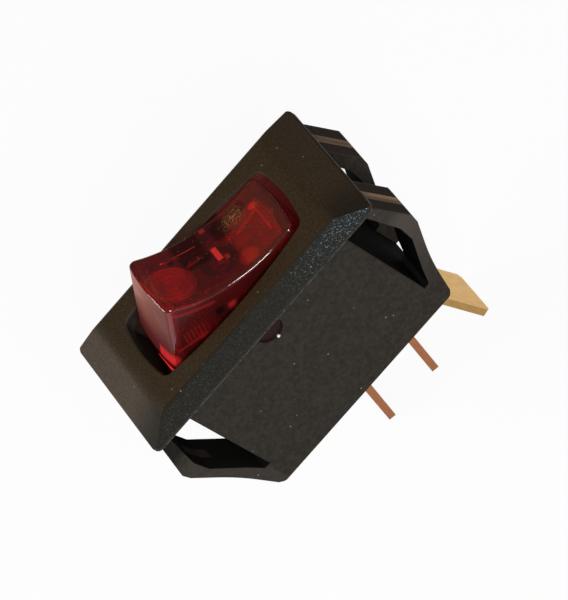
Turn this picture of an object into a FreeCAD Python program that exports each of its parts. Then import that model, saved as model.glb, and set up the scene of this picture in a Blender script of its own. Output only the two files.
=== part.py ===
import FreeCAD, Part
import math
import os

# Illuminated panel rocker switch, in millimetres.
# The origin is the centre of the panel cut-out, in the plane where the bezel seats.
# Z points out of the panel, X towards the pressed end of the rocker.

V = FreeCAD.Vector

# Housing: bezel, walls and snap legs in one moulding
body_length = 23.4
body_width = 15.0
body_depth = 17.4
end_wall = 1.0
side_wall = 1.1
body_edge_radius = 0.3
bezel_end_overhang = 4.3
bezel_side_overhang = 1.1
bezel_height = 2.2
bezel_land = 0.5
bezel_end_bevel = 3.5
bezel_end_blend = 4.0
bezel_side_bevel = 1.3
bezel_side_blend = 0.8
bezel_corner_radius = 0.8
bezel_edge_radius = 0.25
bezel_top_wall = 1.3
window_end_margin = 0.7
window_side_margin = 1.9
window_end_bow = 0.55
window_side_bow = 0.9
window_corner_radius = 0.9
window_edge_chamfer = 0.15

# Snap legs: reaches are measured out from the end wall, drops down from the seating plane
leg_gap = 5.2
leg_tip_reach = 3.9
leg_tip_drop = 0.9
leg_ramp_thickness = 1.2
leg_corner_reach = 5.4
leg_corner_drop = 5.7
leg_facet_height = 1.1
leg_facet_inset = 0.2
leg_strut_thickness = 1.25
leg_strut_bow = 0.45
leg_strut_arc_share = 0.9
leg_root_rise = 0.6
leg_root_reach = 1.2
leg_root_chamfer = 0.5
leg_web_height = 3.5
leg_web_reach = 0.6
leg_corner_radius = 0.3
leg_arch_radius = 2.2
leg_arch_chamfer = 0.5
leg_channel_width = 1.1
leg_channel_depth = 0.3

# Rocker
rocker_tilt = 20.4
pivot_depth = 1.35
pivot_hole_radius = 1.45
pin_clearance = 0.06
pin_recess = 0.2
pin_root = 0.5
ear_top_gap = 0.25
ear_side_gap = 0.3
rocker_side_gap = 0.2
rocker_end_gap = 0.8
rocker_end_bow = 0.4
rocker_end_lean = 1.9
rocker_corner_height = 5.6
rocker_arc_radius = 15.0
rocker_knee_depth = 1.65
rocker_skirt_depth = 3.2
rocker_wall = 1.2
rocker_corner_radius = 0.9
rocker_inner_radius = 0.3
rocker_edge_radius = 0.35
lens_shift = 0.2
lens_ring_pitch = 0.6
lens_ring_width = 0.3
lens_ring_count = 4
lens_ring_depth = 0.3

# Terminal base that closes the housing from below
base_recess = 0.6
base_height = 4.2
base_ledge = 0.35
base_clearance = 0.05
slot_clearance = 0.04

# Terminals: 0.250 inch tabs
tab_width = 6.35
tab_thickness = 0.8
tab_length = 11.3
tab_chamfer = 0.6
tab_tip_bevel = 0.25
tab_bend_radius = 0.6
copper_tab_tilt = 13.0
brass_tab_tilt = 12.2
ground_inset = 1.1
load_pitch = 3.0
load_head_reach = 2.9
load_head_side = 1.2
ground_finger_width = 1.7
ground_finger_gap = 0.3

# Contact arm on the edge of the line terminal
fulcrum_rise = 1.2
arm_thickness = 0.6
arm_tilt = 5.5
arm_gap = 0.02
arm_half_width = 1.9
wing_half_width = 1.25
wing_overrun = 1.2
trough_half_length = 3.0
trough_underside_lead = 0.15
trough_joggle = 0.3
fulcrum_ear_width = 0.95
fulcrum_ear_height = 1.5
fulcrum_ear_gap = 0.15
contact_radius = 1.0
contact_height = 0.5
contact_dome_radius = 3.0
contact_inset = 1.0
rivet_radius = 0.5
rivet_upset_radius = 0.75
rivet_upset_height = 0.2
rivet_clearance = 0.02
contact_gap = 0.03
anvil_radius = 0.6
anvil_half_width = 1.2

# Plunger and its spring, guided in a post under the rocker
plunger_radius = 1.1
plunger_clearance = 0.06
plunger_tip_gap = 0.05
plunger_shoulder_depth = 3.2
plunger_stem_radius = 0.5
plunger_stem_length = 1.2
post_wall = 0.85
post_depth = 4.65
pocket_roof_depth = 0.55
plunger_spring_wire = 0.3
plunger_spring_turns = 6
plunger_spring_gap = 0.05
spring_seat_gap = 0.03

# Lamp, its leads and the springs that feed it
lamp_end_gap = 1.3
lamp_radius = 1.5
lamp_glass_wall = 0.3
lamp_seal_height = 1.0
lamp_bottom = -3.0
lamp_top_gap = 0.15
lamp_hole_clearance = 0.04
lamp_bridge_level = -1.2
lamp_bridge_thickness = 0.9
lamp_bridge_rim = 0.4
lead_rise_gap = 0.12
lamp_lead_spread = 0.55
lead_diameter = 0.4
lead_bend_radius = 0.45
lead_side_gap = 0.35
lead_roof_gap = 0.5
lead_in_glass = 0.45
lead_drop = 0.7
lead_climb = 0.6
lead_load_run = 2.2
lead_cross_run = 0.4
lead_shelf_gap = 0.02
filament_diameter = 0.12
filament_gap = 0.05
filament_rise = 1.2
filament_bend_share = 0.8
sleeve_wall = 0.22
sleeve_clearance = 0.03
sleeve_start = -0.8
sleeve_length = 4.0
shelf_drop = 2.25
shelf_thickness = 0.8
shelf_half_length = 1.1
shelf_inner_side = 1.3
shelf_inset = 1.6
lamp_spring_radius = 0.65
lamp_spring_wire = 0.3
lamp_spring_turns = 6
lamp_spring_inset = 0.8
lamp_spring_head_gap = 0.33
lamp_spring_lean = 0.3
wire_sides = 6

# How far a cutting tool runs past what it cuts
overshoot = 1.0

# Places worked out from the sizes above
body_half = body_length / 2
side_half = body_width / 2
cavity_half = body_half - end_wall
cavity_side = side_half - side_wall
ceiling = bezel_height - bezel_top_wall
window_half = cavity_half - window_end_margin
window_side = cavity_side - window_side_margin
pivot_z = -pivot_depth
rocker_half = window_half - rocker_end_gap
rocker_side = window_side - rocker_side_gap
rocker_top_half = rocker_half - rocker_end_lean
rocker_lean = math.atan2(rocker_end_lean, rocker_corner_height + rocker_knee_depth)
rocker_inner_side = rocker_side - rocker_wall
arc_drop = rocker_arc_radius - math.sqrt(rocker_arc_radius ** 2 - rocker_top_half ** 2)
top_centre = rocker_corner_height - arc_drop
base_bottom = base_recess - body_depth
base_top = base_bottom + base_height
ledge_level = base_top - base_clearance
ground_x = cavity_half - ground_inset
load_x = ground_x - load_pitch
head_bottom = base_top + slot_clearance
head_top = head_bottom + tab_thickness
contact_x = load_x - contact_inset
fulcrum_z = base_top + fulcrum_rise
fulcrum_radius = tab_thickness / 2
arm_top = fulcrum_radius + arm_gap + arm_thickness
tip_drop = pivot_z - fulcrum_z - arm_top - plunger_radius - plunger_tip_gap
dish_centre = top_centre + rocker_arc_radius
spring_seat_x = load_x - shelf_inset
spring_foot_x = spring_seat_x - lamp_spring_lean
lamp_x = lamp_radius + lamp_end_gap + rocker_wall - rocker_half
lens_x = lamp_x - lens_shift
lamp_spring_side = rocker_inner_side - lamp_spring_inset
sleeve_bore = lead_diameter / 2 + sleeve_clearance
lead_side = rocker_inner_side - lead_side_gap - lead_diameter / 2
lead_run_level = top_centre - rocker_wall - lead_roof_gap - sleeve_bore - sleeve_wall
under_shelf = -shelf_drop - lead_shelf_gap - lead_diameter / 2


def box(x0, x1, y0, y1, z0, z1):
    return Part.makeBox(x1 - x0, y1 - y0, z1 - z0, V(x0, y0, z0))


def corner_arc(before, corner, after, radius):
    """Tangent points and middle of the arc that rounds a corner between two straight runs."""
    to_before = (before - corner).normalize()
    to_after = (after - corner).normalize()
    half = to_before.getAngle(to_after) / 2
    reach = radius / math.tan(half)
    start = corner + to_before * reach
    end = corner + to_after * reach
    bisector = (to_before + to_after).normalize()
    middle = corner + bisector * (radius / math.sin(half) - radius)
    return start, middle, end


def rounded_path(points, closed):
    """A wire through points, each a vector and a corner radius; a radius of 0 is a sharp corner."""
    count = len(points)
    edges = []
    last = None
    first = None
    for i, (place, radius) in enumerate(points):
        inner = closed or 0 < i < count - 1
        if radius > 0 and inner:
            before = points[i - 1][0]
            after = points[(i + 1) % count][0]
            start, middle, end = corner_arc(before, place, after, radius)
        else:
            start, middle, end = place, None, place
        if last is not None and (start - last).Length > 1e-6:
            edges.append(Part.LineSegment(last, start).toShape())
        if middle is not None:
            edges.append(Part.Arc(start, middle, end).toShape())
        if first is None:
            first = start
        last = end
    if closed and (first - last).Length > 1e-6:
        edges.append(Part.LineSegment(last, first).toShape())
    return Part.Wire(edges)


def side_prism(points, y0, y1):
    """A solid with the outline points (x, z, corner radius) in the XZ plane, from y0 to y1."""
    wire = rounded_path([(V(x, y0, z), radius) for x, z, radius in points], True)
    return Part.Face(wire).extrude(V(0, y1 - y0, 0))


def slab(half_x, half_y, radius, z0, z1):
    """An upright block with rounded corners in plan."""
    corners = [(-half_x, -half_y), (half_x, -half_y), (half_x, half_y), (-half_x, half_y)]
    wire = rounded_path([(V(x, y, z0), radius) for x, y in corners], True)
    return Part.Face(wire).extrude(V(0, 0, z1 - z0))


def barrel(half_x, half_y, end_bow, side_bow, radius, z0, z1):
    """An upright block with rounded corners whose ends and sides bow outwards; a bow of 0 is straight."""
    corners = [V(half_x, -half_y, z0), V(half_x, half_y, z0), V(-half_x, half_y, z0), V(-half_x, -half_y, z0)]
    outward = [V(end_bow, 0, 0), V(0, side_bow, 0), V(-end_bow, 0, 0), V(0, -side_bow, 0)]
    edges = []
    for i, bow in enumerate(outward):
        start = corners[i]
        end = corners[(i + 1) % 4]
        if bow.Length > 0:
            edges.append(Part.Arc(start, (start + end) / 2 + bow, end).toShape())
        else:
            edges.append(Part.LineSegment(start, end).toShape())
    rounded = Part.Wire(edges).makeOffset2D(-radius).makeOffset2D(radius)
    return Part.Face(rounded).extrude(V(0, 0, z1 - z0))


def round_rod(radius, start, end):
    return Part.makeCylinder(radius, (end - start).Length, start, end - start)


def both_sides(shape):
    return shape.fuse(shape.mirror(V(0, 0, 0), V(0, 1, 0)))


def edges_where(shape, test):
    return [edge for edge in shape.Edges if test(edge.BoundBox)]


def wire_section(diameter, centre, direction):
    """The outline of fine wire, with few sides, square to direction."""
    corners = []
    for i in range(wire_sides + 1):
        angle = 2 * math.pi * i / wire_sides
        corners.append(V(diameter / 2 * math.cos(angle), diameter / 2 * math.sin(angle), 0))
    section = Part.makePolygon(corners)
    section.Placement = FreeCAD.Placement(centre, FreeCAD.Rotation(V(0, 0, 1), direction))
    return section


def coil_spring(foot, head, radius, wire_diameter, turns):
    """A compression spring from foot to head; the wire keeps clear of both by its own radius."""
    axis = head - foot
    length = axis.Length - wire_diameter
    helix = Part.makeHelix(length / turns, length, radius)
    section = wire_section(wire_diameter, V(radius, 0, 0), V(0, 1, 0))
    spring = Part.Wire(helix.Edges).makePipeShell([section], True, True)
    spring.Placement = FreeCAD.Placement(
        foot + axis.normalize() * (wire_diameter / 2),
        FreeCAD.Rotation(V(0, 0, 1), axis),
    )
    return spring


def bent_wire(points, bend_radius, diameter):
    """Fine wire along straight runs joined by tangent arcs."""
    path = rounded_path([(point, bend_radius) for point in points], False)
    section = wire_section(diameter, points[0], points[1] - points[0])
    return path.makePipeShell([section], True, False)


def tilted_with_rocker(shape):
    """Turn a shape from the rocker's level position to its rest position."""
    turned = shape.copy()
    turned.rotate(V(0, 0, pivot_z), V(0, 1, 0), rocker_tilt)
    return turned


def tilted_with_arm(shape):
    """Turn a shape from the arm's level position to its rest position."""
    turned = shape.copy()
    turned.rotate(V(0, 0, fulcrum_z), V(0, 1, 0), -arm_tilt)
    return turned


def bezel():
    half_x = body_half + bezel_end_overhang
    half_y = side_half + bezel_side_overhang
    long_side = side_prism([
        (-half_x, 0, 0),
        (half_x, 0, 0),
        (half_x, bezel_land, bezel_edge_radius),
        (half_x - bezel_end_bevel, bezel_height, bezel_end_blend),
        (bezel_end_bevel - half_x, bezel_height, bezel_end_blend),
        (-half_x, bezel_land, bezel_edge_radius),
    ], -half_y, half_y)
    end_outline = [
        (-half_y, 0, 0),
        (half_y, 0, 0),
        (half_y, bezel_land, bezel_edge_radius),
        (half_y - bezel_side_bevel, bezel_height, bezel_side_blend),
        (bezel_side_bevel - half_y, bezel_height, bezel_side_blend),
        (-half_y, bezel_land, bezel_edge_radius),
    ]
    wire = rounded_path([(V(-half_x, y, z), radius) for y, z, radius in end_outline], True)
    across = Part.Face(wire).extrude(V(2 * half_x, 0, 0))
    corners = slab(half_x, half_y, bezel_corner_radius, 0, bezel_height)
    return long_side.common(across).common(corners)


def snap_leg():
    """One leg at the +X end on the +Y side: a strut from the wall's foot, and a ramp back up."""
    wall = body_half - end_wall / 2
    foot = -body_depth
    root_x = body_half + leg_root_reach
    corner_x = body_half + leg_corner_reach
    facet_x = corner_x - leg_facet_inset
    facet_z = -leg_corner_drop - leg_facet_height
    tip_x = body_half + leg_tip_reach
    strut_x = (root_x + facet_x) / 2 - leg_strut_bow
    strut_z = (foot + leg_root_rise + facet_z) / 2
    strut_half = math.hypot(facet_x - strut_x, facet_z - strut_z)
    strut_radius = leg_strut_arc_share * strut_half ** 2 / (2 * leg_strut_bow)
    arch_x = corner_x - leg_ramp_thickness
    outline = [
        (wall, foot, 0),
        (root_x - leg_root_chamfer, foot, leg_root_rise),
        (root_x, foot + leg_root_rise, 0),
        (strut_x, strut_z, strut_radius),
        (facet_x, facet_z, leg_corner_radius),
        (corner_x, -leg_corner_drop, leg_corner_radius),
        (tip_x, -leg_tip_drop, leg_corner_radius),
        (tip_x - leg_ramp_thickness, -leg_tip_drop, leg_corner_radius),
        (arch_x - leg_arch_chamfer, -leg_corner_drop, leg_arch_radius),
        (facet_x - leg_strut_thickness - leg_arch_chamfer, facet_z - leg_facet_height, 0),
        (strut_x - leg_strut_thickness, strut_z, 0),
        (body_half + leg_web_reach, foot + leg_web_height, leg_corner_radius),
        (wall, foot + leg_web_height, 0),
    ]
    leg = side_prism(outline, leg_gap / 2, side_half)
    ramp_lean = math.degrees(math.atan2(leg_corner_reach - leg_tip_reach, leg_corner_drop - leg_tip_drop))
    channel_middle = (leg_gap / 2 + side_half) / 2
    channel = box(
        -leg_channel_depth, leg_channel_depth,
        channel_middle - leg_channel_width / 2, channel_middle + leg_channel_width / 2,
        -leg_corner_drop, leg_tip_drop,
    )
    channel.rotate(V(0, 0, 0), V(0, 1, 0), -ramp_lean)
    channel.translate(V(tip_x, 0, -leg_tip_drop))
    return leg.cut(channel)


def window():
    """The cutter for the opening in the bezel."""
    return barrel(
        window_half, window_side, window_end_bow, window_side_bow, window_corner_radius,
        ceiling - overshoot, bezel_height + overshoot,
    )


def housing():
    walls = slab(body_half, side_half, body_edge_radius, -body_depth, bezel_height / 2)
    end_legs = both_sides(snap_leg())
    legs = end_legs.fuse(end_legs.mirror(V(0, 0, 0), V(1, 0, 0)))
    top = bezel().cut(window())
    rim = edges_where(
        top,
        lambda b: b.ZMin > bezel_height - window_edge_chamfer
        and max(b.XMax, -b.XMin) < body_half and max(b.YMax, -b.YMin) < cavity_side,
    )
    top = top.makeChamfer(window_edge_chamfer, rim)
    cavity = slab(cavity_half, cavity_side, body_edge_radius, -body_depth - overshoot, ceiling)
    rebate = slab(
        cavity_half + base_ledge, cavity_side + base_ledge, body_edge_radius,
        -body_depth - overshoot, ledge_level + base_clearance,
    )
    pivot_holes = round_rod(
        pivot_hole_radius, V(0, -side_half - overshoot, pivot_z), V(0, side_half + overshoot, pivot_z),
    )
    shell = walls.cut(window()).fuse(legs).fuse(top)
    return shell.cut(cavity).cut(rebate).cut(pivot_holes).removeSplitter()


def rocker_block(inset, side, radius, bottom):
    """The rocker's form moved inwards by inset: a straight skirt, bowed ends that lean in, and the dish."""
    block = barrel(
        rocker_half - inset, side, rocker_end_bow, 0, radius, bottom, rocker_corner_height + overshoot,
    )
    leaning = barrel(2 * rocker_half, side, rocker_end_bow, 0, radius, -2 * rocker_half, 2 * rocker_half)
    leaning.translate(V(-rocker_half - inset, 0, 0))
    leaning.rotate(V(rocker_half, 0, -rocker_knee_depth), V(0, 1, 0), -math.degrees(rocker_lean))
    dish = round_rod(
        rocker_arc_radius + inset, V(0, -side - overshoot, dish_centre), V(0, side + overshoot, dish_centre),
    )
    return block.common(leaning).common(leaning.mirror(V(0, 0, 0), V(1, 0, 0))).cut(dish)


def lens_rings(outer_block):
    """Concentric ridges under the top at the raised end, that spread the lamp's light."""
    reach = rocker_wall + lens_ring_depth
    below = rocker_block(reach, rocker_inner_side, rocker_inner_radius, -rocker_skirt_depth - overshoot)
    layer = outer_block.cut(below)
    foot = V(lens_x, 0, 0)
    head = V(lens_x, 0, rocker_corner_height)
    rings = []
    for i in range(lens_ring_count):
        radius = lens_ring_pitch * (i + 1)
        rings.append(round_rod(radius, foot, head).cut(round_rod(radius - lens_ring_width, foot, head)))
    return rings[0].multiFuse(rings[1:]).common(layer)


def rocker_level():
    """The rocker before it is tilted: a hollow shell with lens, ears, pins, post and shelves."""
    outer = rocker_block(0, rocker_side, rocker_corner_radius, -rocker_skirt_depth)
    rim = edges_where(outer, lambda b: b.ZMin > top_centre - rocker_edge_radius)
    outer = outer.makeFillet(rocker_edge_radius, rim)
    inner = rocker_block(rocker_wall, rocker_inner_side, rocker_inner_radius, -rocker_skirt_depth - overshoot)
    ear_radius = ceiling + pivot_depth - ear_top_gap
    ear_side = cavity_side - ear_side_gap
    pin_radius = pivot_hole_radius - pin_clearance
    ear = round_rod(ear_radius, V(0, rocker_inner_side, pivot_z), V(0, ear_side, pivot_z))
    pin = round_rod(pin_radius, V(0, ear_side - pin_root, pivot_z), V(0, side_half - pin_recess, pivot_z))
    bore = plunger_radius + plunger_clearance
    post_foot = V(0, 0, pivot_z - post_depth)
    post = round_rod(bore + post_wall, post_foot, V(0, 0, top_centre - rocker_wall / 2))
    pocket = round_rod(
        bore, post_foot - V(0, 0, overshoot), V(0, 0, top_centre - rocker_wall - pocket_roof_depth),
    )
    shelf = box(
        spring_seat_x - shelf_half_length, spring_seat_x + shelf_half_length,
        shelf_inner_side, rocker_inner_side + rocker_wall / 2,
        -shelf_drop, shelf_thickness - shelf_drop,
    )
    bridge_half = lamp_radius + lamp_bridge_rim
    bridge = box(
        lamp_x - bridge_half, lamp_x + bridge_half,
        -rocker_inner_side - rocker_wall / 2, rocker_inner_side + rocker_wall / 2,
        lamp_bridge_level, lamp_bridge_level + lamp_bridge_thickness,
    )
    lamp_hole = round_rod(
        lamp_radius + lamp_hole_clearance,
        V(lamp_x, 0, lamp_bridge_level - overshoot),
        V(lamp_x, 0, lamp_bridge_level + lamp_bridge_thickness + overshoot),
    )
    shell = outer.cut(inner).fuse(both_sides(ear.fuse(pin))).fuse(lens_rings(outer)).fuse(post)
    shell = shell.fuse(both_sides(shelf)).fuse(bridge.cut(lamp_hole))
    return shell.cut(pocket).removeSplitter()


def terminal_base():
    block = slab(
        cavity_half - base_clearance, cavity_side - base_clearance, body_edge_radius,
        base_bottom, base_top,
    )
    flange = slab(
        cavity_half + base_ledge - base_clearance, cavity_side + base_ledge - base_clearance,
        body_edge_radius, base_bottom, ledge_level,
    )
    base = block.fuse(flange)
    anvil_x = -contact_x
    anvil_top = arm_underside_level() - contact_gap
    post = box(
        anvil_x - anvil_radius, anvil_x + anvil_radius, -anvil_half_width, anvil_half_width,
        base_top - overshoot, anvil_top - anvil_radius,
    )
    crown = round_rod(
        anvil_radius, V(anvil_x, -anvil_half_width, anvil_top - anvil_radius),
        V(anvil_x, anvil_half_width, anvil_top - anvil_radius),
    )
    base = base.fuse(post).fuse(crown)
    for x in (0, load_x, ground_x):
        base = base.cut(terminal_slot(x))
    for x in (load_x, ground_x):
        base = base.cut(bend_relief(x))
    return base.removeSplitter()


def terminal_slot(x):
    half = tab_thickness / 2 + slot_clearance
    side = tab_width / 2 + slot_clearance
    return box(x - half, x + half, -side, side, base_bottom - overshoot, base_top + overshoot)


def bend_relief(x):
    """A step beside the slot that leaves room for the inside of the terminal's bend."""
    reach = tab_thickness / 2 + tab_bend_radius + slot_clearance
    side = tab_width / 2 + slot_clearance
    return box(x - reach, x, -side, side, base_top - tab_bend_radius, base_top + overshoot)


def arm_wing_top():
    """Height of the arm's flat wings over the fulcrum, where the plunger's trough ends."""
    radius = trough_radius()
    return arm_top + radius - math.sqrt(radius ** 2 - trough_half_length ** 2)


def trough_radius():
    """The plunger tip's path seen from the arm is close to an arc; the trough runs parallel to it."""
    tilt = math.radians(rocker_tilt)
    turn = math.radians(arm_tilt)
    drop = pivot_z - fulcrum_z
    x = -tip_drop * math.sin(tilt)
    z = drop - tip_drop * math.cos(tilt)
    half_chord = abs(x * math.cos(turn) + z * math.sin(turn))
    rise = z * math.cos(turn) - x * math.sin(turn) - (drop - tip_drop)
    path_radius = (half_chord ** 2 + rise ** 2) / (2 * rise)
    return path_radius + plunger_radius + plunger_tip_gap


def arm_underside_level():
    """Lowest height that the underside of a wing reaches over its seat."""
    turn = math.radians(arm_tilt)
    underside = arm_wing_top() - arm_thickness
    seat_shift = anvil_radius * (1 - math.cos(turn))
    return fulcrum_z + underside * math.cos(turn) - contact_x * math.sin(turn) - seat_shift


def moving_dome_height():
    """Lowest height of the moving contact's dome when the arm is tilted onto the load side."""
    turn = math.radians(arm_tilt)
    dome_centre = arm_wing_top() - arm_thickness - contact_height + contact_dome_radius
    height = fulcrum_z + dome_centre * math.cos(turn) - contact_x * math.sin(turn)
    return height - contact_dome_radius


def contact_arm_level():
    """The seesaw: a trough over the fulcrum between two flat wings."""
    under_radius = trough_radius() + arm_thickness
    under_half = trough_half_length + trough_underside_lead
    under_z = arm_top - arm_thickness + under_radius - math.sqrt(under_radius ** 2 - under_half ** 2)
    wing_top = arm_wing_top()
    wing_under = wing_top - arm_thickness
    end = contact_x + wing_overrun
    joggle = under_half + trough_joggle

    def place(x, z):
        return V(x, -arm_half_width, fulcrum_z + z)

    trough = Part.Arc(
        place(-trough_half_length, wing_top), place(0, arm_top), place(trough_half_length, wing_top),
    )
    underside = Part.Arc(
        place(under_half, under_z), place(0, arm_top - arm_thickness), place(-under_half, under_z),
    )
    right = Part.makePolygon([
        place(trough_half_length, wing_top), place(end, wing_top), place(end, wing_under),
        place(joggle, wing_under), place(under_half, under_z),
    ])
    left = Part.makePolygon([
        place(-under_half, under_z), place(-joggle, wing_under), place(-end, wing_under),
        place(-end, wing_top), place(-trough_half_length, wing_top),
    ])
    outline = Part.Wire([trough.toShape()] + right.Edges + [underside.toShape()] + left.Edges)
    arm = Part.Face(outline).extrude(V(0, 2 * arm_half_width, 0))
    beside_wing = box(
        joggle, end + overshoot, wing_half_width, arm_half_width + overshoot,
        fulcrum_z - overshoot, fulcrum_z + wing_top + overshoot,
    )
    cuts = both_sides(beside_wing)
    cuts = cuts.fuse(cuts.mirror(V(0, 0, 0), V(1, 0, 0)))
    return arm.cut(cuts).cut(rivet_hole(fulcrum_z + wing_under, arm_thickness))


def rivet_hole(bottom, depth):
    return round_rod(
        rivet_radius + rivet_clearance,
        V(contact_x, 0, bottom - overshoot), V(contact_x, 0, bottom + depth + overshoot),
    )


def domed_contact(head_height):
    """A contact rivet's head on the plane z = 0 with its dome upwards."""
    head = Part.makeCylinder(contact_radius, head_height, V(0, 0, 0))
    dome = Part.makeSphere(contact_dome_radius, V(0, 0, head_height - contact_dome_radius))
    return head.common(dome)


def moving_contact_level():
    wing_top = fulcrum_z + arm_wing_top()
    head = domed_contact(contact_height)
    head.rotate(V(0, 0, 0), V(1, 0, 0), 180)
    head.translate(V(contact_x, 0, wing_top - arm_thickness))
    shank = Part.makeCylinder(rivet_radius, arm_thickness, V(contact_x, 0, wing_top - arm_thickness))
    upset = Part.makeCylinder(rivet_upset_radius, rivet_upset_height, V(contact_x, 0, wing_top))
    return head.fuse(shank).fuse(upset).removeSplitter()


def fixed_contact():
    head = domed_contact(moving_dome_height() - contact_gap - head_top)
    head.translate(V(contact_x, 0, head_top))
    shank = Part.makeCylinder(rivet_radius, tab_thickness, V(contact_x, 0, head_bottom))
    return head.fuse(shank).removeSplitter()


def strip(centre_line, y0, y1):
    """Strip metal bent along a centre line of (x, z) points, from y0 to y1."""
    half = tab_thickness / 2
    points = [V(x, 0, z) for x, z in centre_line]
    runs = [(after - before).normalize() for before, after in zip(points, points[1:])]
    left = []
    right = []
    for i, here in enumerate(points):
        behind = runs[max(i - 1, 0)]
        ahead = runs[min(i, len(runs) - 1)]
        normal = V(ahead.z + behind.z, 0, -ahead.x - behind.x).normalize()
        side = normal * (half / normal.dot(V(ahead.z, 0, -ahead.x)))
        at_end = i in (0, len(runs))
        inner = 0 if at_end else tab_bend_radius
        outer = 0 if at_end else tab_bend_radius + tab_thickness
        turns_left = behind.cross(ahead).y > 0
        left.append((here + side, inner if turns_left else outer))
        right.append((here - side, outer if turns_left else inner))
    wire = rounded_path([(V(p.x, y0, p.z), radius) for p, radius in left + right[::-1]], True)
    return Part.Face(wire).extrude(V(0, y1 - y0, 0))


def tab_blade(root_x, tilt):
    """The tab under the base: straight at its root, tilted below the body, bevelled and cut at the tip."""
    turn = math.radians(tilt)
    along = V(math.sin(turn), 0, math.cos(turn))
    normal = V(math.cos(turn), 0, -math.sin(turn))
    tip = V(root_x, 0, -body_depth) - along * tab_length
    side = tab_width / 2
    blade = strip([(root_x, base_top), (root_x, -body_depth), (tip.x, tip.z)], -side, side)
    tip_edges = edges_where(blade, lambda b: b.ZMax < tip.z + tab_thickness and b.YLength > side)
    blade = blade.makeChamfer(tab_tip_bevel, tip_edges)
    for sign in (-1, 1):
        corner = tip + V(0, sign * side, 0) - normal * tab_thickness
        wedge = Part.Face(Part.makePolygon([
            corner, corner - V(0, sign * tab_chamfer, 0), corner + along * tab_chamfer, corner,
        ]))
        blade = blade.cut(wedge.extrude(normal * (2 * tab_thickness)))
    return blade


def line_terminal():
    side = tab_width / 2
    half = tab_thickness / 2
    blade = tab_blade(0, copper_tab_tilt)
    ear_start = arm_half_width + fulcrum_ear_gap
    plate = box(-half, half, -ear_start, ear_start, base_top - overshoot, fulcrum_z)
    edge = round_rod(fulcrum_radius, V(0, -ear_start, fulcrum_z), V(0, ear_start, fulcrum_z))
    ear = box(
        -half, half, ear_start, min(ear_start + fulcrum_ear_width, side),
        base_top - overshoot, fulcrum_z + fulcrum_ear_height,
    )
    return blade.fuse(plate).fuse(edge).fuse(both_sides(ear)).removeSplitter()


def load_terminal():
    blade = tab_blade(load_x, copper_tab_tilt)
    head = strip([
        (load_x, base_top - overshoot),
        (load_x, (head_bottom + head_top) / 2),
        (load_x - load_head_reach, (head_bottom + head_top) / 2),
    ], -load_head_side, tab_width / 2)
    return blade.fuse(head).cut(rivet_hole(head_bottom, tab_thickness)).removeSplitter()


def ground_terminal():
    blade = tab_blade(ground_x, -brass_tab_tilt)
    finger_inner = load_head_side + ground_finger_gap
    finger = strip([
        (ground_x, base_top - overshoot),
        (ground_x, (head_bottom + head_top) / 2),
        (load_x - load_head_reach, (head_bottom + head_top) / 2),
    ], -finger_inner - ground_finger_width, -finger_inner)
    return blade.fuse(finger).removeSplitter()


def plunger_level():
    tip = V(0, 0, pivot_z - tip_drop)
    shoulder = V(0, 0, pivot_z - plunger_shoulder_depth)
    body = round_rod(plunger_radius, tip, shoulder)
    stem = round_rod(plunger_stem_radius, shoulder, shoulder + V(0, 0, plunger_stem_length))
    return body.fuse(Part.makeSphere(plunger_radius, tip)).fuse(stem).removeSplitter()


def plunger_spring_level():
    foot = V(0, 0, pivot_z - plunger_shoulder_depth + spring_seat_gap)
    head = V(0, 0, top_centre - rocker_wall - pocket_roof_depth - spring_seat_gap)
    radius = plunger_radius - plunger_spring_wire / 2 - plunger_spring_gap
    return coil_spring(foot, head, radius, plunger_spring_wire, plunger_spring_turns)


def lamp_top():
    """Just under the lens rings, measured at the side of the bulb's round end nearer the middle."""
    under_radius = rocker_arc_radius + rocker_wall + lens_ring_depth
    near = lamp_x + lamp_radius / 2
    return dish_centre - math.sqrt(under_radius ** 2 - near ** 2) - lamp_top_gap


def bulb_outline(radius, bottom, top):
    """Half outline of a round-ended bulb, for a turn about the Z axis."""
    shoulder = top - radius
    edges = [
        Part.LineSegment(V(0, 0, bottom), V(radius, 0, bottom)).toShape(),
        Part.LineSegment(V(radius, 0, bottom), V(radius, 0, shoulder)).toShape(),
        Part.Arc(
            V(radius, 0, shoulder),
            V(radius * math.cos(math.pi / 4), 0, shoulder + radius * math.sin(math.pi / 4)),
            V(0, 0, top),
        ).toShape(),
        Part.LineSegment(V(0, 0, top), V(0, 0, bottom)).toShape(),
    ]
    return Part.Face(Part.Wire(edges)).revolve(V(0, 0, 0), V(0, 0, 1), 360)


def lead_places():
    return lamp_x - lamp_lead_spread, lamp_x + lamp_lead_spread


def lamp_glass_level():
    seal_top = lamp_bottom + lamp_seal_height
    glass = bulb_outline(lamp_radius, lamp_bottom, lamp_top())
    glass = glass.cut(bulb_outline(lamp_radius - lamp_glass_wall, seal_top, lamp_top() - lamp_glass_wall))
    glass.translate(V(lamp_x, 0, 0))
    for x in lead_places():
        foot = V(x, 0, lamp_bottom - overshoot)
        glass = glass.cut(round_rod(lead_diameter / 2, foot, V(x, 0, seal_top + lead_in_glass)))
    return glass


def lamp_filament_level():
    """An arch of fine wire between the tops of the two leads."""
    outer, inner = lead_places()
    foot = lamp_bottom + lamp_seal_height + lead_in_glass + filament_gap
    top = foot + filament_rise + lamp_lead_spread
    arch = [V(outer, 0, foot), V(outer, 0, top), V(inner, 0, top), V(inner, 0, foot)]
    return bent_wire(arch, filament_bend_share * lamp_lead_spread, filament_diameter)


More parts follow.
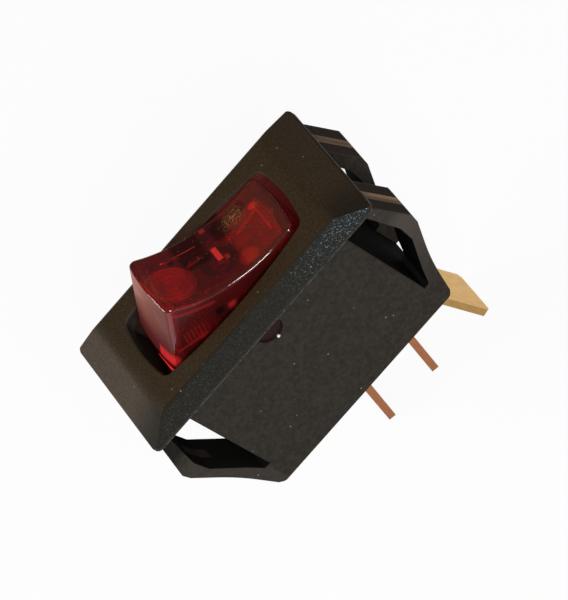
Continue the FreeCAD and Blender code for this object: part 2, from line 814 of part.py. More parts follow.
def lamp_lead_ground_level():
    """From the lamp up the far side, along under the top, across and down to the near shelf."""
    outer, _ = lead_places()
    low = lamp_bottom - lead_drop
    rise_x = lamp_x + lamp_radius + lamp_bridge_rim + lead_rise_gap + lead_diameter / 2
    high = top_centre - rocker_wall / 2
    shelf_start = spring_seat_x - shelf_half_length
    cross_x = spring_seat_x + shelf_half_length + lead_rise_gap + lead_diameter / 2
    return bent_wire([
        V(outer, 0, lamp_bottom + lamp_seal_height + lead_in_glass),
        V(outer, 0, low),
        V(rise_x, lead_side, low + lead_climb),
        V(rise_x, lead_side, lead_run_level),
        V(shelf_start - lead_cross_run, lead_side, lead_run_level),
        V(cross_x, lead_side, high),
        V(cross_x, -lamp_spring_side, high),
        V(cross_x, -lamp_spring_side, under_shelf),
        V(shelf_start, -lamp_spring_side, under_shelf),
    ], lead_bend_radius, lead_diameter)


def lamp_lead_load_level():
    """From the lamp low along the far side to the far shelf."""
    _, inner = lead_places()
    return bent_wire([
        V(inner, 0, lamp_bottom + lamp_seal_height + lead_in_glass),
        V(inner, 0, lamp_bottom - lead_drop),
        V(inner + lead_load_run, lamp_spring_side, under_shelf),
        V(spring_seat_x + shelf_half_length, lamp_spring_side, under_shelf),
    ], lead_bend_radius, lead_diameter)


def lead_sleeve_level():
    start = V(sleeve_start, lead_side, lead_run_level)
    end = start + V(sleeve_length, 0, 0)
    return round_rod(sleeve_bore + sleeve_wall, start, end).cut(round_rod(sleeve_bore, start, end))


def lamp_spring(side):
    """From a terminal's head up to the lead under the rocker's shelf."""
    tilt = math.radians(rocker_tilt)
    seat = V(spring_seat_x, side, under_shelf - lead_diameter / 2 - pivot_z - lamp_spring_head_gap)
    head = V(
        seat.x * math.cos(tilt) + seat.z * math.sin(tilt), side,
        seat.z * math.cos(tilt) - seat.x * math.sin(tilt) + pivot_z,
    )
    foot = V(spring_foot_x, side, head_top + spring_seat_gap)
    return coil_spring(foot, head, lamp_spring_radius, lamp_spring_wire, lamp_spring_turns)


parts = {
    "housing": housing(),
    "terminal_base": terminal_base(),
    "line_terminal": line_terminal(),
    "load_terminal": load_terminal(),
    "ground_terminal": ground_terminal(),
    "fixed_contact": fixed_contact(),
    "contact_arm": tilted_with_arm(contact_arm_level()),
    "moving_contact": tilted_with_arm(moving_contact_level()),
    "rocker": tilted_with_rocker(rocker_level()),
    "plunger": tilted_with_rocker(plunger_level()),
    "plunger_spring": tilted_with_rocker(plunger_spring_level()),
    "lamp_glass": tilted_with_rocker(lamp_glass_level()),
    "lamp_filament": tilted_with_rocker(lamp_filament_level()),
    "lamp_lead_load": tilted_with_rocker(lamp_lead_load_level()),
    "lamp_lead_ground": tilted_with_rocker(lamp_lead_ground_level()),
    "lead_sleeve": tilted_with_rocker(lead_sleeve_level()),
    "lamp_spring_load": lamp_spring(lamp_spring_side),
    "lamp_spring_ground": lamp_spring(-lamp_spring_side),
}

os.makedirs("parts", exist_ok=True)
for name, shape in parts.items():
    solids = len(shape.Solids)
    low = shape.BoundBox
    print(f"{name:20s} solids {solids} valid {shape.isValid()} volume {shape.Volume:9.3f} "
          f"x {low.XMin:6.2f} {low.XMax:6.2f} y {low.YMin:6.2f} {low.YMax:6.2f} "
          f"z {low.ZMin:6.2f} {low.ZMax:6.2f}")
    shape.exportStep(f"parts/{name}.step")
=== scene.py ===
import math
import bpy
from mathutils import Matrix, Vector


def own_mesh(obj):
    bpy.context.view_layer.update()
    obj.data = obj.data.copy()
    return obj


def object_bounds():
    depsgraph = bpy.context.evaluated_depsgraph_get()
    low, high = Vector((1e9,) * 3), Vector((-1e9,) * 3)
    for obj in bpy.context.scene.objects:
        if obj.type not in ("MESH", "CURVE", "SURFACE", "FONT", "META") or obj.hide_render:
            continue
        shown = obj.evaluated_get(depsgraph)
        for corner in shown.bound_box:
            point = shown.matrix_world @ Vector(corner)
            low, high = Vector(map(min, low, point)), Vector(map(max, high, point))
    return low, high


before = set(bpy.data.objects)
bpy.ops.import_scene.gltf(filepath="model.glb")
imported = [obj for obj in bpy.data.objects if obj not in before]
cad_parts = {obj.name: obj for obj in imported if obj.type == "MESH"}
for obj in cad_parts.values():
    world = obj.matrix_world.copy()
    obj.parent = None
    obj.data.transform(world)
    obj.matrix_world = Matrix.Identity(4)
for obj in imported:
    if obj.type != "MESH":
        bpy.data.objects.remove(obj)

cad_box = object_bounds()
bpy.ops.object.select_all(action="DESELECT")


# Housing: one injection moulding of black, fine-textured thermoplastic with bezel, walls and four snap legs.
# The mould's spark-eroded texture has painted glitter, strongest where the bezel bends towards the light, and
# the leg ramps are paler brown along their middle channel.

class Signal:
    """What one node of a finish gives, mostly a value that varies. Sums on it become Math nodes."""

    def __init__(self, finish, socket):
        self.finish = finish
        self.socket = socket

    def maths(self, operation, *values):
        return self.finish.node("Math", {"operation": operation}, dict(enumerate(values)))

    def __add__(self, other):
        return self.maths("ADD", self, other)

    def __sub__(self, other):
        return self.maths("SUBTRACT", self, other)

    def __rsub__(self, other):
        return self.maths("SUBTRACT", other, self)

    def __mul__(self, other):
        return self.maths("MULTIPLY", self, other)

    def __pow__(self, other):
        return self.maths("POWER", self, other)

    def __gt__(self, other):
        return self.maths("GREATER_THAN", self, other)

    def __lt__(self, other):
        return self.maths("LESS_THAN", self, other)

    def __abs__(self):
        return self.maths("ABSOLUTE", self)

    __radd__ = __add__
    __rmul__ = __mul__

    def at_most(self, limit):
        return self.maths("MINIMUM", self, limit)

    def wave(self, per_mm):
        """From -1 to 1 and back as the value grows, with so many radians to the millimetre."""
        return self.maths("SINE", self * per_mm)

    def ramp(self, low, high):
        """0 below low and 1 above high, smooth between them."""
        settings = {"interpolation_type": "SMOOTHSTEP"}
        return self.finish.node("MapRange", settings, {"Value": self, "From Min": low, "From Max": high})

    def within(self, low, high, edge):
        """1 between low and high, fading to 0 over edge on both sides."""
        return self.ramp(low - edge, low) * (1 - self.ramp(high, high + edge))


class Finish:
    """A material for one of the switch's stuffs, measured in millimetres from the panel cut-out."""

    def __init__(self, name, **fixed):
        self.material = bpy.data.materials.new(name)
        self.material.use_nodes = True
        self.tree = self.material.node_tree
        self.shader = self.tree.nodes["Principled BSDF"]
        self.lit = Signal(self, self.shader.outputs[0])
        for socket, value in fixed.items():
            self.shader.inputs[socket.replace("_", " ")].default_value = value
        place = self.node("TexCoord", output="Object")
        self.mm = self.node("Mapping", inputs={"Vector": place, "Scale": (1000, 1000, 1000)})
        self.x, self.y, self.z = self.parts(self.mm)

    def node(self, kind, settings=None, inputs=None, output=0):
        made = self.tree.nodes.new("ShaderNode" + kind)
        for name, value in (settings or {}).items():
            setattr(made, name, value)
        for name, value in (inputs or {}).items():
            self.feed(made.inputs[name], value)
        return Signal(self, made.outputs[output])

    def feed(self, socket, value):
        if isinstance(value, Signal):
            self.tree.links.new(value.socket, socket)
        else:
            socket.default_value = value

    def parts(self, vector):
        split = self.node("SeparateXYZ", inputs={"Vector": vector}).socket.node
        return [Signal(self, socket) for socket in split.outputs]

    def facing(self):
        """Which way the surface faces, as three parts from -1 to 1 on the piece's own axes."""
        return self.parts(self.node("TexCoord", output="Normal"))

    def mix(self, share, under, over):
        """A colour: under where share is 0, over where it is 1."""
        under, over = [c if isinstance(c, Signal) else (*c, 1) for c in (under, over)]
        return self.node("Mix", {"data_type": "RGBA"}, {0: share, 6: under, 7: over}, output=2)

    def noise(self, per_mm, detail=2, stretch=(1, 1, 1)):
        """Cloudy noise from 0 to 1, with so many lumps to the millimetre."""
        place = self.node("Mapping", inputs={"Vector": self.mm, "Scale": stretch})
        return self.node("TexNoise", inputs={"Vector": place, "Scale": per_mm, "Detail": detail})

    def grains(self, per_mm):
        """A different number from 0 to 1 in each grain, with so many grains to the millimetre."""
        cell = self.node("TexVoronoi", inputs={"Vector": self.mm, "Scale": per_mm}, output="Color")
        return self.parts(cell)[0]

    def bump(self, height, strength, distance):
        """Relief from a height of 0 to 1, that deep in metres."""
        return self.node("Bump", inputs={"Height": height, "Strength": strength, "Distance": distance})

    def set(self, **sockets):
        for socket, value in sockets.items():
            self.feed(self.shader.inputs[socket.replace("_", " ")], value)

    def layer(self, share, under, over):
        """One shader over another, by a share from 0 to 1."""
        return self.node("MixShader", inputs={0: share, 1: under, 2: over})

    def show(self, shader):
        self.feed(self.tree.nodes["Material Output"].inputs["Surface"], shader)

    def cover(self, *nodes):
        for name in nodes:
            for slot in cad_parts[name].material_slots:
                slot.material = self.material


moulding = Finish("housing_moulding", IOR=1.5, Specular_IOR_Level=0.1, Emission_Strength=1.0)
end_slope, side_slope, up_slope = moulding.facing()
out_x = abs(moulding.x)
out_y = abs(moulding.y)
fine_grain = moulding.noise(6, 3)
pebbles = moulding.grains(11)
mottling = moulding.noise(2.2, 5)
shadow_black = (0.0015, 0.0015, 0.0015)
sparkle_white = (0.45, 0.52, 0.52)
bezel_half_length = 16.0
bezel_half_width = 8.6
body_half_length = 11.7
body_half_width = 7.5
under_seat = -0.05

# The bezel: brown-black on top, greyer where its sides slope down; its sloping ends carry painted light,
# fading to painted shade towards the near side, and the pressed end's rim is painted in the shaded brown.
above = moulding.z > under_seat
at_pressed_end = moulding.x > 0
at_raised_end = moulding.x < 0
facing_up = up_slope.ramp(0.6, 0.85) * above
flat_top = up_slope.ramp(0.92, 0.99)
side_bevel_start = 7.1
on_side_bevel = up_slope.within(0.2, 0.7, 0.1) * (out_y > side_bevel_start) * above
to_pressed_end = moulding.x.ramp(3, 15)
to_shaded_near_side = moulding.y.ramp(-2, -8)
end_shade_brown = (0.024, 0.0165, 0.0095)
# Painted light and shade: each sloping end is lighter towards the far side and darker towards the near side.
raised_end_colour = moulding.mix(to_shaded_near_side, (0.072, 0.052, 0.036), (0.0175, 0.0135, 0.008))
pressed_end_colour = moulding.mix(to_shaded_near_side, (0.050, 0.034, 0.019), end_shade_brown)
end_colour = moulding.mix(at_pressed_end, raised_end_colour, pressed_end_colour)
brown_black = (0.046, 0.024, 0.0105)
green_black = (0.036, 0.027, 0.010)
top_colour = moulding.mix(moulding.noise(4, 2).ramp(0.35, 0.65), brown_black, green_black)
bezel_colour = moulding.mix(flat_top, end_colour, top_colour)
bevel_colour = moulding.mix(to_pressed_end, (0.0165, 0.0155, 0.011), (0.009, 0.012, 0.0128))
wall_colour = moulding.mix(mottling.ramp(0.3, 0.7), (0.030, 0.0245, 0.0185), (0.018, 0.0145, 0.0105))
body_colour = moulding.mix(facing_up, wall_colour, bezel_colour)
body_colour = moulding.mix(on_side_bevel, body_colour, bevel_colour)
# The pressed end's rim is painted in the same shaded brown.
pressed_end_rim = (moulding.x > bezel_half_length - 0.15) * above
body_colour = moulding.mix(pressed_end_rim, body_colour, end_shade_brown)

# The legs: a paler brown channel along each ramp, painted light where the side faces catch the light, and
# painted shade on the dark insides.
ramp_start = 14.6
ramp_sides = (2.7, 7.4)
channel = (4.45, 5.55)
leg_black = (0.032, 0.013, 0.001)
pale_channel_brown = (0.29, 0.195, 0.13)
leg_light_colour = (0.066, 0.055, 0.048)
on_ramp = (out_x > ramp_start) * (moulding.z < -0.1) * (up_slope > -0.05)
on_ramp = on_ramp * (out_y < ramp_sides[1]) * (out_y > ramp_sides[0])
in_channel = out_y.within(*channel, 0.15)
ramp_colour = moulding.mix(in_channel * (0.4 + fine_grain * 0.6), leg_black, pale_channel_brown)
body_colour = moulding.mix(on_ramp, body_colour, ramp_colour)
# Painted light on the legs' side faces: paler mid-way down the pressed end's legs and low on the raised
# end's.
leg_side = (out_x > body_half_length + 0.2) * (out_y > body_half_width - 0.3) * (moulding.z < under_seat)
lit_pressed_leg = 0.85 * moulding.z.ramp(-15, -5) * (1 - 0.75 * moulding.z.ramp(-5, -3))
lit_raised_leg = 0.3 * (1 - moulding.z.ramp(-6, -4))
lit_leg = at_pressed_end * lit_pressed_leg + at_raised_end * lit_raised_leg
body_colour = moulding.mix(leg_side * lit_leg, body_colour, leg_light_colour)
# Painted shadow under the bezel, near the top of the raised end's legs.
bezel_shadow = leg_side * at_raised_end * moulding.z.ramp(-4.2, -3.0)
body_colour = moulding.mix(bezel_shadow * 0.8, body_colour, shadow_black)
faces_in = (end_slope * moulding.x < 0) + (out_x < body_half_length + 0.9)
in_leg = (out_x > body_half_length - 0.1) * (abs(side_slope) < 0.6) * (moulding.z < 0) * faces_in
in_leg = in_leg.at_most(1.0)

# The moulded texture: dark pits, painted glitter on the side bevels, dust, a painted highlight along the rim
# and a painted glint at the pin hole.
grain_depth = 0.25 + 0.35 * facing_up + 0.5 * on_side_bevel
pits = (1 - pebbles) * grain_depth * fine_grain.ramp(0.3, 0.7)
body_colour = moulding.mix(pits, body_colour, shadow_black)
# Painted glitter: white grains stand in for glints, faint on the top and strongest on the side bevels at the
# pressed end.
sparkle = pebbles.ramp(0.68, 1.0) * fine_grain.ramp(0.38, 0.62)
sparkle_share = sparkle * (0.01 + 0.035 * flat_top + on_side_bevel * (0.05 + 0.38 * to_pressed_end))
body_colour = moulding.mix(sparkle_share, body_colour, sparkle_white)
dust = moulding.grains(7) > 0.9996
body_colour = moulding.mix(dust * 0.3, body_colour, sparkle_white)
# A painted highlight: a faint pale line along the bezel's lower rim.
rim_highlight = (out_y > bezel_half_width - 0.25) * (moulding.z < 0.13) * above
body_colour = moulding.mix(rim_highlight * 0.12 * fine_grain.ramp(0.4, 0.6), body_colour, sparkle_white)
# A painted glint at the foot of the pin hole.
hole_glint = (out_x < 0.14) * (out_y > body_half_width - 0.2) * moulding.z.within(-2.95, -2.7, 0.05)
body_colour = moulding.mix(hole_glint, body_colour, (0.9, 0.9, 0.9))

# Painted light: a faint red glow stands in for the light that the red rocker lets down into the housing,
# on the walls at the pressed end and in a streak at the raised one.
cavity_half_width = 6.5
in_cavity = (out_y < cavity_half_width) * (moulding.x > 4) * (moulding.x < 11)
in_cavity = in_cavity * (up_slope < 0.5) * (moulding.z < 2.0)
streak = (moulding.x < -10.6) * (moulding.x > -10.8) * moulding.z.within(-3.9, -3.25, 0.15)
streak = streak * moulding.y.within(0.9, 3.4, 0.3)
glow = moulding.mix(in_cavity, (0, 0, 0), (0.042, 0.004, 0.004))
glow = moulding.mix(streak, glow, (0.62, 0.022, 0.026))

moulding.set(
    Base_Color=body_colour,
    Roughness=0.58 + 0.12 * fine_grain - 0.12 * on_side_bevel * to_pressed_end,
    Emission_Color=glow,
    Normal=moulding.bump(0.5 * fine_grain + 0.5 * pebbles, 0.5, 0.00003),
)
# Painted shade: a dull black layer fills the legs' insides and half dulls the ramps beside their channels.
shade_and_dull_share = in_leg * 0.9 + on_ramp * (1 - in_leg) * (1 - in_channel) * 0.5
shade_and_dull_black = moulding.node("BsdfDiffuse", inputs={"Color": (0.006, 0.006, 0.006, 1)})
moulding.show(moulding.layer(shade_and_dull_share, moulding.lit, shade_and_dull_black))
moulding.cover("housing")


# Terminal base: a plain black block that closes the housing from below and grips the three terminals.
# It is moulded in a smoother tool than the housing, and shows faint flow marks.

block = Finish("base_moulding", IOR=1.5)
flow = block.noise(0.6, 3, (1, 3, 1))
block_grain = block.noise(10, 2)
block.set(
    Base_Color=block.mix(flow, (0.014, 0.0135, 0.013), (0.022, 0.021, 0.02)),
    Roughness=0.42 + 0.15 * flow,
    Normal=block.bump(block_grain, 0.4, 0.00001),
)
block.cover("terminal_base")


# Copper terminals and contact arm: blanked from rolled strip. Rolling leaves fine lines along the blades,
# handling leaves darker tarnish, and the sheared edges are duller still.

def rolled(name, bright, dull, cut_edge, nodes):
    metal = Finish(name, Metallic=1.0)
    side = metal.facing()[1]
    on_edge = abs(side).ramp(0.6, 0.9)
    tarnish = metal.noise(1.5, 5, (1, 1, 0.5))
    rolling = metal.noise(4, 3, (6, 6, 0.2))
    specks = metal.grains(6) > 0.97
    colour = metal.mix(tarnish.ramp(0.3, 0.8) * 0.6, bright, dull)
    colour = metal.mix(specks * 0.3, colour, dull)
    colour = metal.mix(on_edge * (0.5 + 0.5 * rolling.ramp(0.3, 0.7)), colour, cut_edge)
    metal.set(
        Base_Color=colour,
        Roughness=0.3 + 0.2 * tarnish + 0.1 * rolling,
        Normal=metal.bump(rolling, 0.25, 0.00001),
    )
    metal.cover(*nodes)


rolled("rolled_copper", bright=(0.54, 0.23, 0.098), dull=(0.34, 0.14, 0.065), cut_edge=(0.33, 0.132, 0.06),
       nodes=("line_terminal", "load_terminal", "contact_arm"))


# Brass ground terminal: the same strip work in yellow brass, bent outwards below the body.
# It is less tarnished than the copper, and dark along its sheared edges.

rolled("rolled_brass", bright=(0.72, 0.435, 0.13), dull=(0.60, 0.37, 0.12), cut_edge=(0.34, 0.20, 0.075),
       nodes=("ground_terminal",))


# Contact rivets: silver alloy heads, one set in the load terminal and one in the arm.
# Switching leaves a grey bloom of arc marks over the domes.

silver = Finish("contact_silver", Metallic=1.0)
arc_marks = silver.noise(2.5, 4)
silver.set(
    Base_Color=silver.mix(arc_marks.ramp(0.45, 0.7), (0.85, 0.84, 0.81), (0.42, 0.40, 0.38)),
    Roughness=0.22 + 0.35 * arc_marks,
    Normal=silver.bump(arc_marks, 0.3, 0.00001),
)
silver.cover("fixed_contact", "moving_contact")


# Rocker: polished translucent red polycarbonate, a hollow shell with lens rings under its raised end.
# Light passes it tinted red, and its upright faces are misty; a sheen is painted on the raised end, light and
# shade on the near side, and the lamp, post and leads inside are painted as soft light and dark shapes.

red_plastic = Finish("rocker_red", Transmission_Weight=0.93, IOR=1.3, Coat_IOR=1.5, Coat_Roughness=0.05)
pivot_depth = 1.35
tilt = math.radians(20.4)
dish_axis_height = 20.054
top_radius = 15.0
underside_radius = 16.2
hollow_half_width = 3.1
rocker_half_width = 4.3
pin_start = 6.0
from_pivot = red_plastic.node("Mapping", inputs={"Vector": red_plastic.mm, "Location": (0, 0, pivot_depth)})
level = red_plastic.node("Mapping", inputs={"Vector": from_pivot, "Rotation": (0, -tilt, 0)})
level_x, level_y, level_z = red_plastic.parts(level)
facing_x, facing_y, facing_z = red_plastic.facing()
below_dish_axis = dish_axis_height - level_z
from_dish_axis = (level_x * level_x + below_dish_axis * below_dish_axis) ** 0.5

cloud = red_plastic.noise(0.35, 3)
smear = red_plastic.noise(1.1, 4, (1, 2.5, 1))
in_hollow = 1 - abs(level_y).ramp(hollow_half_width - 0.5, hollow_half_width - 0.02)
under_top = (from_dish_axis > underside_radius - 0.1) * (from_dish_axis < underside_radius + 0.5)
under_top = under_top * in_hollow
on_top = (from_dish_axis < top_radius + 0.1) * (facing_z > 0.5)
on_end = (facing_x < -0.6) * (level_x < -6)
on_near_side = (level_y < 0.05 - rocker_half_width) * (facing_y < -0.9)
far_rim = (facing_y > 0.3) * (facing_z > 0.1) * (level_z > 2)
on_pin = abs(level_y) > pin_start
red_plastic.set(
    Base_Color=red_plastic.mix(cloud, (0.58, 0.03, 0.022), (0.42, 0.016, 0.014)),
    Roughness=0.04 + 0.1 * smear + 0.2 * on_end + 0.2 * on_near_side,
    Coat_Weight=(0.35 + 0.3 * smear + 0.5 * (facing_y < -0.25)) * facing_z.ramp(0.1, 0.3),
    Normal=red_plastic.bump(red_plastic.noise(1.2, 2), 0.03, 0.00004),
)


def reach_from(x, y):
    """How far a place on the levelled rocker is from another, seen from above."""
    return ((level_x - x) * (level_x - x) + (level_y - y) * (level_y - y)) ** 0.5


def spot(x, y, radius, edge):
    return 1 - reach_from(x, y).ramp(radius - edge, radius + edge)


def patch(x, y, edge):
    return level_x.within(*x, edge) * level_y.within(*y, edge)


dark_red = (0.008, 0.0015, 0.0015)
bright_red = (0.80, 0.036, 0.034)

# Painted under the top: light on the end of a lead, a round shine beside it, and light over the field of the
# lens.
lit_lens_field = spot(x=-5.4, y=0, radius=2.5, edge=0.1)
lead_end = spot(x=5.8, y=2.5, radius=0.4, edge=0.12)
lead_end = lead_end + 0.5 * patch(x=(5.88, 6.05), y=(-1.6, 2.4), edge=0.08)
round_shine = 0.6 * spot(x=2.6, y=-2.0, radius=1.0, edge=0.4)
round_shine = round_shine + 0.3 * spot(x=2.9, y=0.1, radius=0.9, edge=0.6)
lit_below = (lead_end + round_shine).at_most(1.0)
haze_and_painted_light = red_plastic.mix(level_x.ramp(1, 5), (0.10, 0.013, 0.010), (0.40, 0.075, 0.032))
haze_and_painted_light = red_plastic.mix(lit_lens_field, haze_and_painted_light, (0.60, 0.055, 0.038))
haze_and_painted_light = red_plastic.mix(lit_below, haze_and_painted_light, bright_red)
under_share = under_top * (0.35 + 0.5 * lit_below).at_most(0.85)

# Painted at the top: light on the post's face and the inner walls, the lit lens rings towards the raised end,
# painted shade over the dark parts, painted amber glints of the sleeve, and more haze towards the pressed
# end.
post_shine = patch(x=(-0.05, 0.35), y=(-0.8, 0.9), edge=0.2)
post_shine = post_shine + 0.4 * patch(x=(0.6, 1.0), y=(-1.3, -0.7), edge=0.15)
wall_shine = 0.5 * patch(x=(0.1, 0.6), y=(3.5, 3.95), edge=0.1)
wall_shine = wall_shine + 0.35 * patch(x=(-3.6, -1.1), y=(2.5, 2.62), edge=0.08)
faint_shine = 0.2 * spot(x=2.66, y=-3.12, radius=0.9, edge=0.4)
faint_shine = faint_shine + 0.3 * spot(x=5.85, y=1.46, radius=0.35, edge=0.15)
lit_top = (post_shine + wall_shine + faint_shine).at_most(1.0)
lens_seen = (-5.6, -0.6)
rings = reach_from(*lens_seen).wave(10.5).ramp(-0.7, 0.7)
ring_glow = spot(*lens_seen, radius=2.45, edge=0.15) * (1 - level_x.ramp(-7.1, -6.3)) * (0.5 + 0.5 * rings)
dark_shade = patch(x=(-2.7, -0.9), y=(0.5, 3.8), edge=0.9) + patch(x=(1.4, 2.2), y=(1.8, 3.2), edge=0.9)
dark_shade = dark_shade + spot(x=-4.0, y=1.95, radius=0.3, edge=0.15)
dark_shade = dark_shade + 0.3 * patch(x=(-3.2, 1.6), y=(-3.0, 3.9), edge=0.9)
dark_shade = dark_shade + 0.5 * patch(x=(2.2, 4.9), y=(2.5, 3.3), edge=0.4)
dark_shade = dark_shade.at_most(1.0) * (1 - lit_top)
specks = red_plastic.grains(15)
amber_glints = (specks > 0.7) * spot(x=3.6, y=2.4, radius=1.0, edge=1.1) + (specks > 0.994) * 0.7
haze_to_pressed_end = 0.12 * level_x.ramp(1, 4)
top_share = 0.85 * lit_top + 0.72 * dark_shade + 0.4 * amber_glints + haze_to_pressed_end + 0.55 * ring_glow
top_share = on_top * top_share.at_most(0.85)
top_light_and_shade = red_plastic.mix(dark_shade.ramp(0, 0.25), (0.17, 0.065, 0.022), dark_red)
top_light_and_shade = red_plastic.mix(ring_glow, top_light_and_shade, (0.40, 0.022, 0.016))
top_light_and_shade = red_plastic.mix(lit_top, top_light_and_shade, bright_red)
haze_and_painted_light = red_plastic.mix(on_top, haze_and_painted_light, top_light_and_shade)
haze_and_painted_light = red_plastic.mix(on_top * amber_glints.at_most(1.0), haze_and_painted_light, (0.45, 0.22, 0.07))

# The raised end: a painted pale sheen, darker towards its foot and the near corner.
end_sheen_share = on_end * 0.85
end_sheen = red_plastic.mix(level_y.ramp(-4, 4), (0.13, 0.026, 0.017), (0.34, 0.10, 0.062))
end_sheen = red_plastic.mix(level_z.ramp(0.5, 5.0), (0.09, 0.004, 0.004), end_sheen)
haze_and_painted_light = red_plastic.mix(on_end, haze_and_painted_light, end_sheen)

# The near side: painted light on ribs low down and on lines along its edges, and a painted bright and a
# painted shaded place at the ear.
ribs = level_x.wave(15.0).ramp(-0.3, 0.6)
ribs = ribs * level_x.within(-7.0, -4.6, 0.2) * level_z.within(1.6, 2.9, 0.2)
ear_shine = level_x.within(-1.6, -1.2, 0.5) * level_z.within(2.4, 2.8, 0.5)
ear_shade = level_x.within(-3.0, -2.5, 0.45) * level_z.within(2.6, 3.1, 0.5)
edge_band = from_dish_axis.within(15.85, 16.1, 0.15) * level_x.within(-7, -3, 0.5)
skirt_line = level_z.within(1.28, 1.42, 0.12) * level_x.within(-8.7, -4.9, 0.3)
lit_side = (0.35 * ribs + 0.8 * ear_shine + 0.4 * edge_band + 0.45 * skirt_line).at_most(1.0)
side_share = on_near_side * (0.4 + 0.5 * ear_shade + 0.4 * lit_side).at_most(0.9)
side_light_and_shade = red_plastic.mix(lit_side, (0.022, 0.006, 0.006), (0.50, 0.02, 0.022))
side_light_and_shade = red_plastic.mix(ear_shade, side_light_and_shade, dark_red)
haze_and_painted_light = red_plastic.mix(on_near_side, haze_and_painted_light, side_light_and_shade)

# Painted light: the near foot of the raised end glows; painted shade darkens the pins and the far rim.
foot_glow = (1 - level_x.ramp(-8.8, -8.2)) * (1 - level_z.ramp(0.5, 1.3)) * (level_y < -1.5)
haze_and_painted_light = red_plastic.mix(foot_glow, haze_and_painted_light, (0.60, 0.018, 0.022))
haze_and_painted_light = red_plastic.mix(on_pin, haze_and_painted_light, (0.012, 0.003, 0.003))
haze_and_painted_light = red_plastic.mix(far_rim, haze_and_painted_light, dark_red)
haze_and_light_share = under_share + top_share + end_sheen_share + side_share
haze_and_light_share = haze_and_light_share + 0.6 * foot_glow + 0.95 * on_pin + 0.6 * far_rim

# The layer that carries the painted haze, light and shade.
haze_and_light_layer = red_plastic.node("BsdfPrincipled", inputs={
    "Base Color": haze_and_painted_light, "Roughness": 0.5, "Specular IOR Level": 0.1,
})
red_body = red_plastic.layer(haze_and_light_share.at_most(0.95), red_plastic.lit, haze_and_light_layer)
red_light = red_plastic.node("BsdfTransparent", inputs={"Color": (0.75, 0.07, 0.05, 1)})
to_lamps = red_plastic.node("LightPath", output="Is Shadow Ray")
red_plastic.show(red_plastic.layer(to_lamps, red_body, red_light))
red_plastic.cover("rocker")


# Plunger: a natural nylon pin with a ball tip that slides in the post under the rocker.
# Grease from assembly darkens it in patches.

nylon = Finish("plunger_nylon", IOR=1.53, Subsurface_Weight=0.1)
grease = nylon.noise(1.4, 3)
nylon.set(
    Base_Color=nylon.mix(grease, (0.80, 0.77, 0.68), (0.62, 0.57, 0.46)),
    Roughness=0.35 + 0.2 * grease,
    Normal=nylon.bump(nylon.noise(6, 2), 0.3, 0.00001),
)
nylon.cover("plunger")


# Springs and filament: drawn steel and tungsten wire, coiled on a mandrel.
# Drawing leaves fine lines and an oil-dark bloom.

wire = Finish("spring_wire", Metallic=1.0)
bloom = wire.noise(2.2, 4)
wire.set(
    Base_Color=wire.mix(bloom.ramp(0.4, 0.7), (0.62, 0.62, 0.63), (0.36, 0.35, 0.34)),
    Roughness=0.25 + 0.2 * bloom,
    Normal=wire.bump(wire.noise(14, 2), 0.3, 0.000005),
)
wire.cover("plunger_spring", "lamp_filament", "lamp_spring_load", "lamp_spring_ground")

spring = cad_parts["plunger_spring"]
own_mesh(spring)


# Lamp leads: tinned copper wire, dull where the tin has oxidised.
# They run from the lamp's pinch to the springs' shelves.

tinned = Finish("tinned_lead", Metallic=1.0)
oxide = tinned.noise(1.8, 4)
tinned.set(
    Base_Color=tinned.mix(oxide.ramp(0.35, 0.75), (0.84, 0.82, 0.78), (0.50, 0.48, 0.44)),
    Roughness=0.22 + 0.3 * oxide,
    Normal=tinned.bump(oxide, 0.3, 0.00001),
)
tinned.cover("lamp_lead_load", "lamp_lead_ground")


# Lamp glass: a clear drawn tube with a domed end, pinched shut round the leads.
# Drawing leaves the wall faintly wavy.

bulb = Finish("bulb_glass", Transmission_Weight=1.0, IOR=1.5)
waves = bulb.noise(0.8, 2, (1, 1, 0.4))
bulb.set(
    Base_Color=bulb.mix(waves, (0.97, 0.98, 0.99), (0.93, 0.95, 0.96)),
    Roughness=0.03 + 0.05 * waves,
    Normal=bulb.bump(waves, 0.2, 0.00004),
)
glass_light = bulb.node("BsdfTransparent", inputs={"Color": (0.95, 0.95, 0.95, 1)})
past_glass = bulb.node("LightPath", output="Is Shadow Ray")
bulb.show(bulb.layer(past_glass, bulb.lit, glass_light))
bulb.cover("lamp_glass")


# Lead sleeve: varnished glass-fibre braid over one lead, dark amber with age.
# The braid's glints are painted as bright specks under the varnish.

braid = Finish("varnished_sleeve", IOR=1.5, Coat_Weight=0.5)
strands = braid.noise(5, 2, (1, 2, 2))
glints = braid.grains(6) > 0.8
braid_colour = braid.mix(strands, (0.10, 0.055, 0.02), (0.05, 0.028, 0.012))
braid.set(
    Base_Color=braid.mix(glints, braid_colour, (0.85, 0.60, 0.22)),
    Roughness=0.3 + 0.3 * strands,
    Normal=braid.bump(strands, 0.5, 0.00003),
)
braid.cover("lead_sleeve")


# Floor: a pale sheet under the tabs' tips. To the camera it is mostly its own white, with the
# switch's soft shadow on it, and from below it isn't seen at all.

lowest = cad_box[0].z
under_tips = 0.0002
bpy.ops.mesh.primitive_plane_add(size=3, location=(0, 0, lowest - under_tips))
floor = bpy.context.object
floor.name = "floor"
paper = Finish("pale_paper", Specular_IOR_Level=0.1)
fibres = paper.noise(0.05, 3)
paper.set(
    Base_Color=paper.mix(fibres, (0.86, 0.86, 0.86), (0.83, 0.83, 0.83)),
    Roughness=0.85 + 0.1 * fibres,
)
white = paper.node("Emission", inputs={"Color": (1, 1, 1, 1), "Strength": 1.0})
rays = paper.node("LightPath").socket.node.outputs
seen_directly = Signal(paper, rays["Is Camera Ray"]) + Signal(paper, rays["Is Glossy Ray"])
seen_directly = seen_directly + Signal(paper, rays["Is Transmission Ray"])
from_above = paper.layer(seen_directly.at_most(1.0) * 0.93, paper.lit, white)
from_below = paper.node("NewGeometry", output="Backfacing")
nothing = paper.node("BsdfTransparent")
paper.show(paper.layer(from_below, from_above, nothing))
floor.data.materials.append(paper.material)


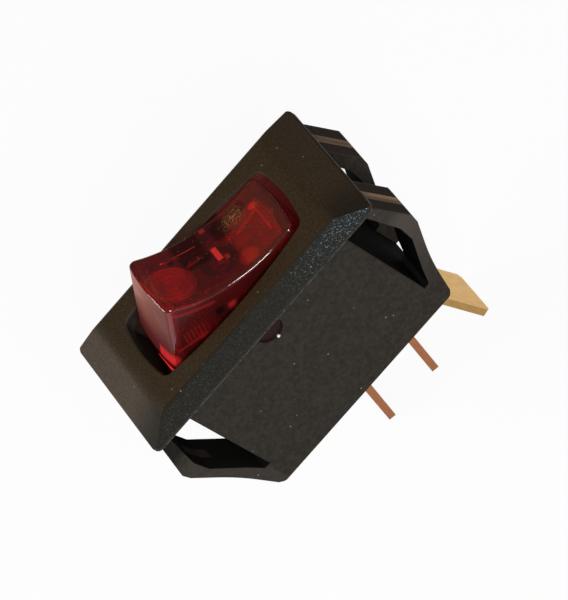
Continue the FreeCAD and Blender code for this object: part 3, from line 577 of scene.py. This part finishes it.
# Lights: a large soft lamp beside the camera as the photographer's main light, a long one at the left for the
# pale sheen on the rocker's raised end, and an even pale surround.

class Surround(Finish):
    """The empty studio round the switch: white to the camera, and dim as a light."""

    def __init__(self, name):
        self.world = bpy.data.worlds.new(name)
        self.world.use_nodes = True
        self.tree = self.world.node_tree
        self.shader = self.tree.nodes["Background"]


studio = Surround("studio")
as_light = 0.15
to_camera = studio.node("LightPath", output="Is Camera Ray")
studio.set(Color=(1, 1, 1, 1), Strength=as_light + (1 - as_light) * to_camera)
bpy.context.scene.world = studio.world


def soft_lamp(name, direction, distance, size, power):
    light = bpy.data.lights.new(name, "AREA")
    light.shape = "RECTANGLE"
    light.size, light.size_y = size
    light.energy = power
    lamp = bpy.data.objects.new(name, light)
    bpy.context.collection.objects.link(lamp)
    away = Vector(direction).normalized()
    lamp.location = away * distance
    lamp.rotation_mode = "QUATERNION"
    lamp.rotation_quaternion = away.to_track_quat("Z", "Y")


soft_lamp("main_lamp", direction=(0.12, -0.79, 0.55), distance=0.5, size=(0.20, 0.16), power=2.15)
soft_lamp("left_lamp", direction=(-0.8, 0.3, 0.35), distance=0.4, size=(0.30, 0.15), power=1.1)


# Camera: the photographer's place, found from the outlines of the switch in the photograph.
# A long lens from 0.44 m, rolled so that the switch stands on a corner of the picture.

camera_place = (0.07992, -0.30425, 0.31002)
right = Vector((0.6505, -0.4620, -0.6028))
down = Vector((-0.7390, -0.5685, -0.3616))
ahead = Vector((-0.1756, 0.6807, -0.7112))
sensor_width = 36
focal_length_pixels = 4549.5
picture_height_pixels = 600
lens_data = bpy.data.cameras.new("camera")
lens_data.sensor_width = sensor_width
lens_data.lens = focal_length_pixels / picture_height_pixels * sensor_width
camera = bpy.data.objects.new("camera", lens_data)
bpy.context.collection.objects.link(camera)
turn = Matrix((right, -down, -ahead)).transposed().to_4x4()
camera.matrix_world = Matrix.Translation(camera_place) @ turn
bpy.context.scene.camera = camera
bpy.context.scene.view_settings.view_transform = "Standard"
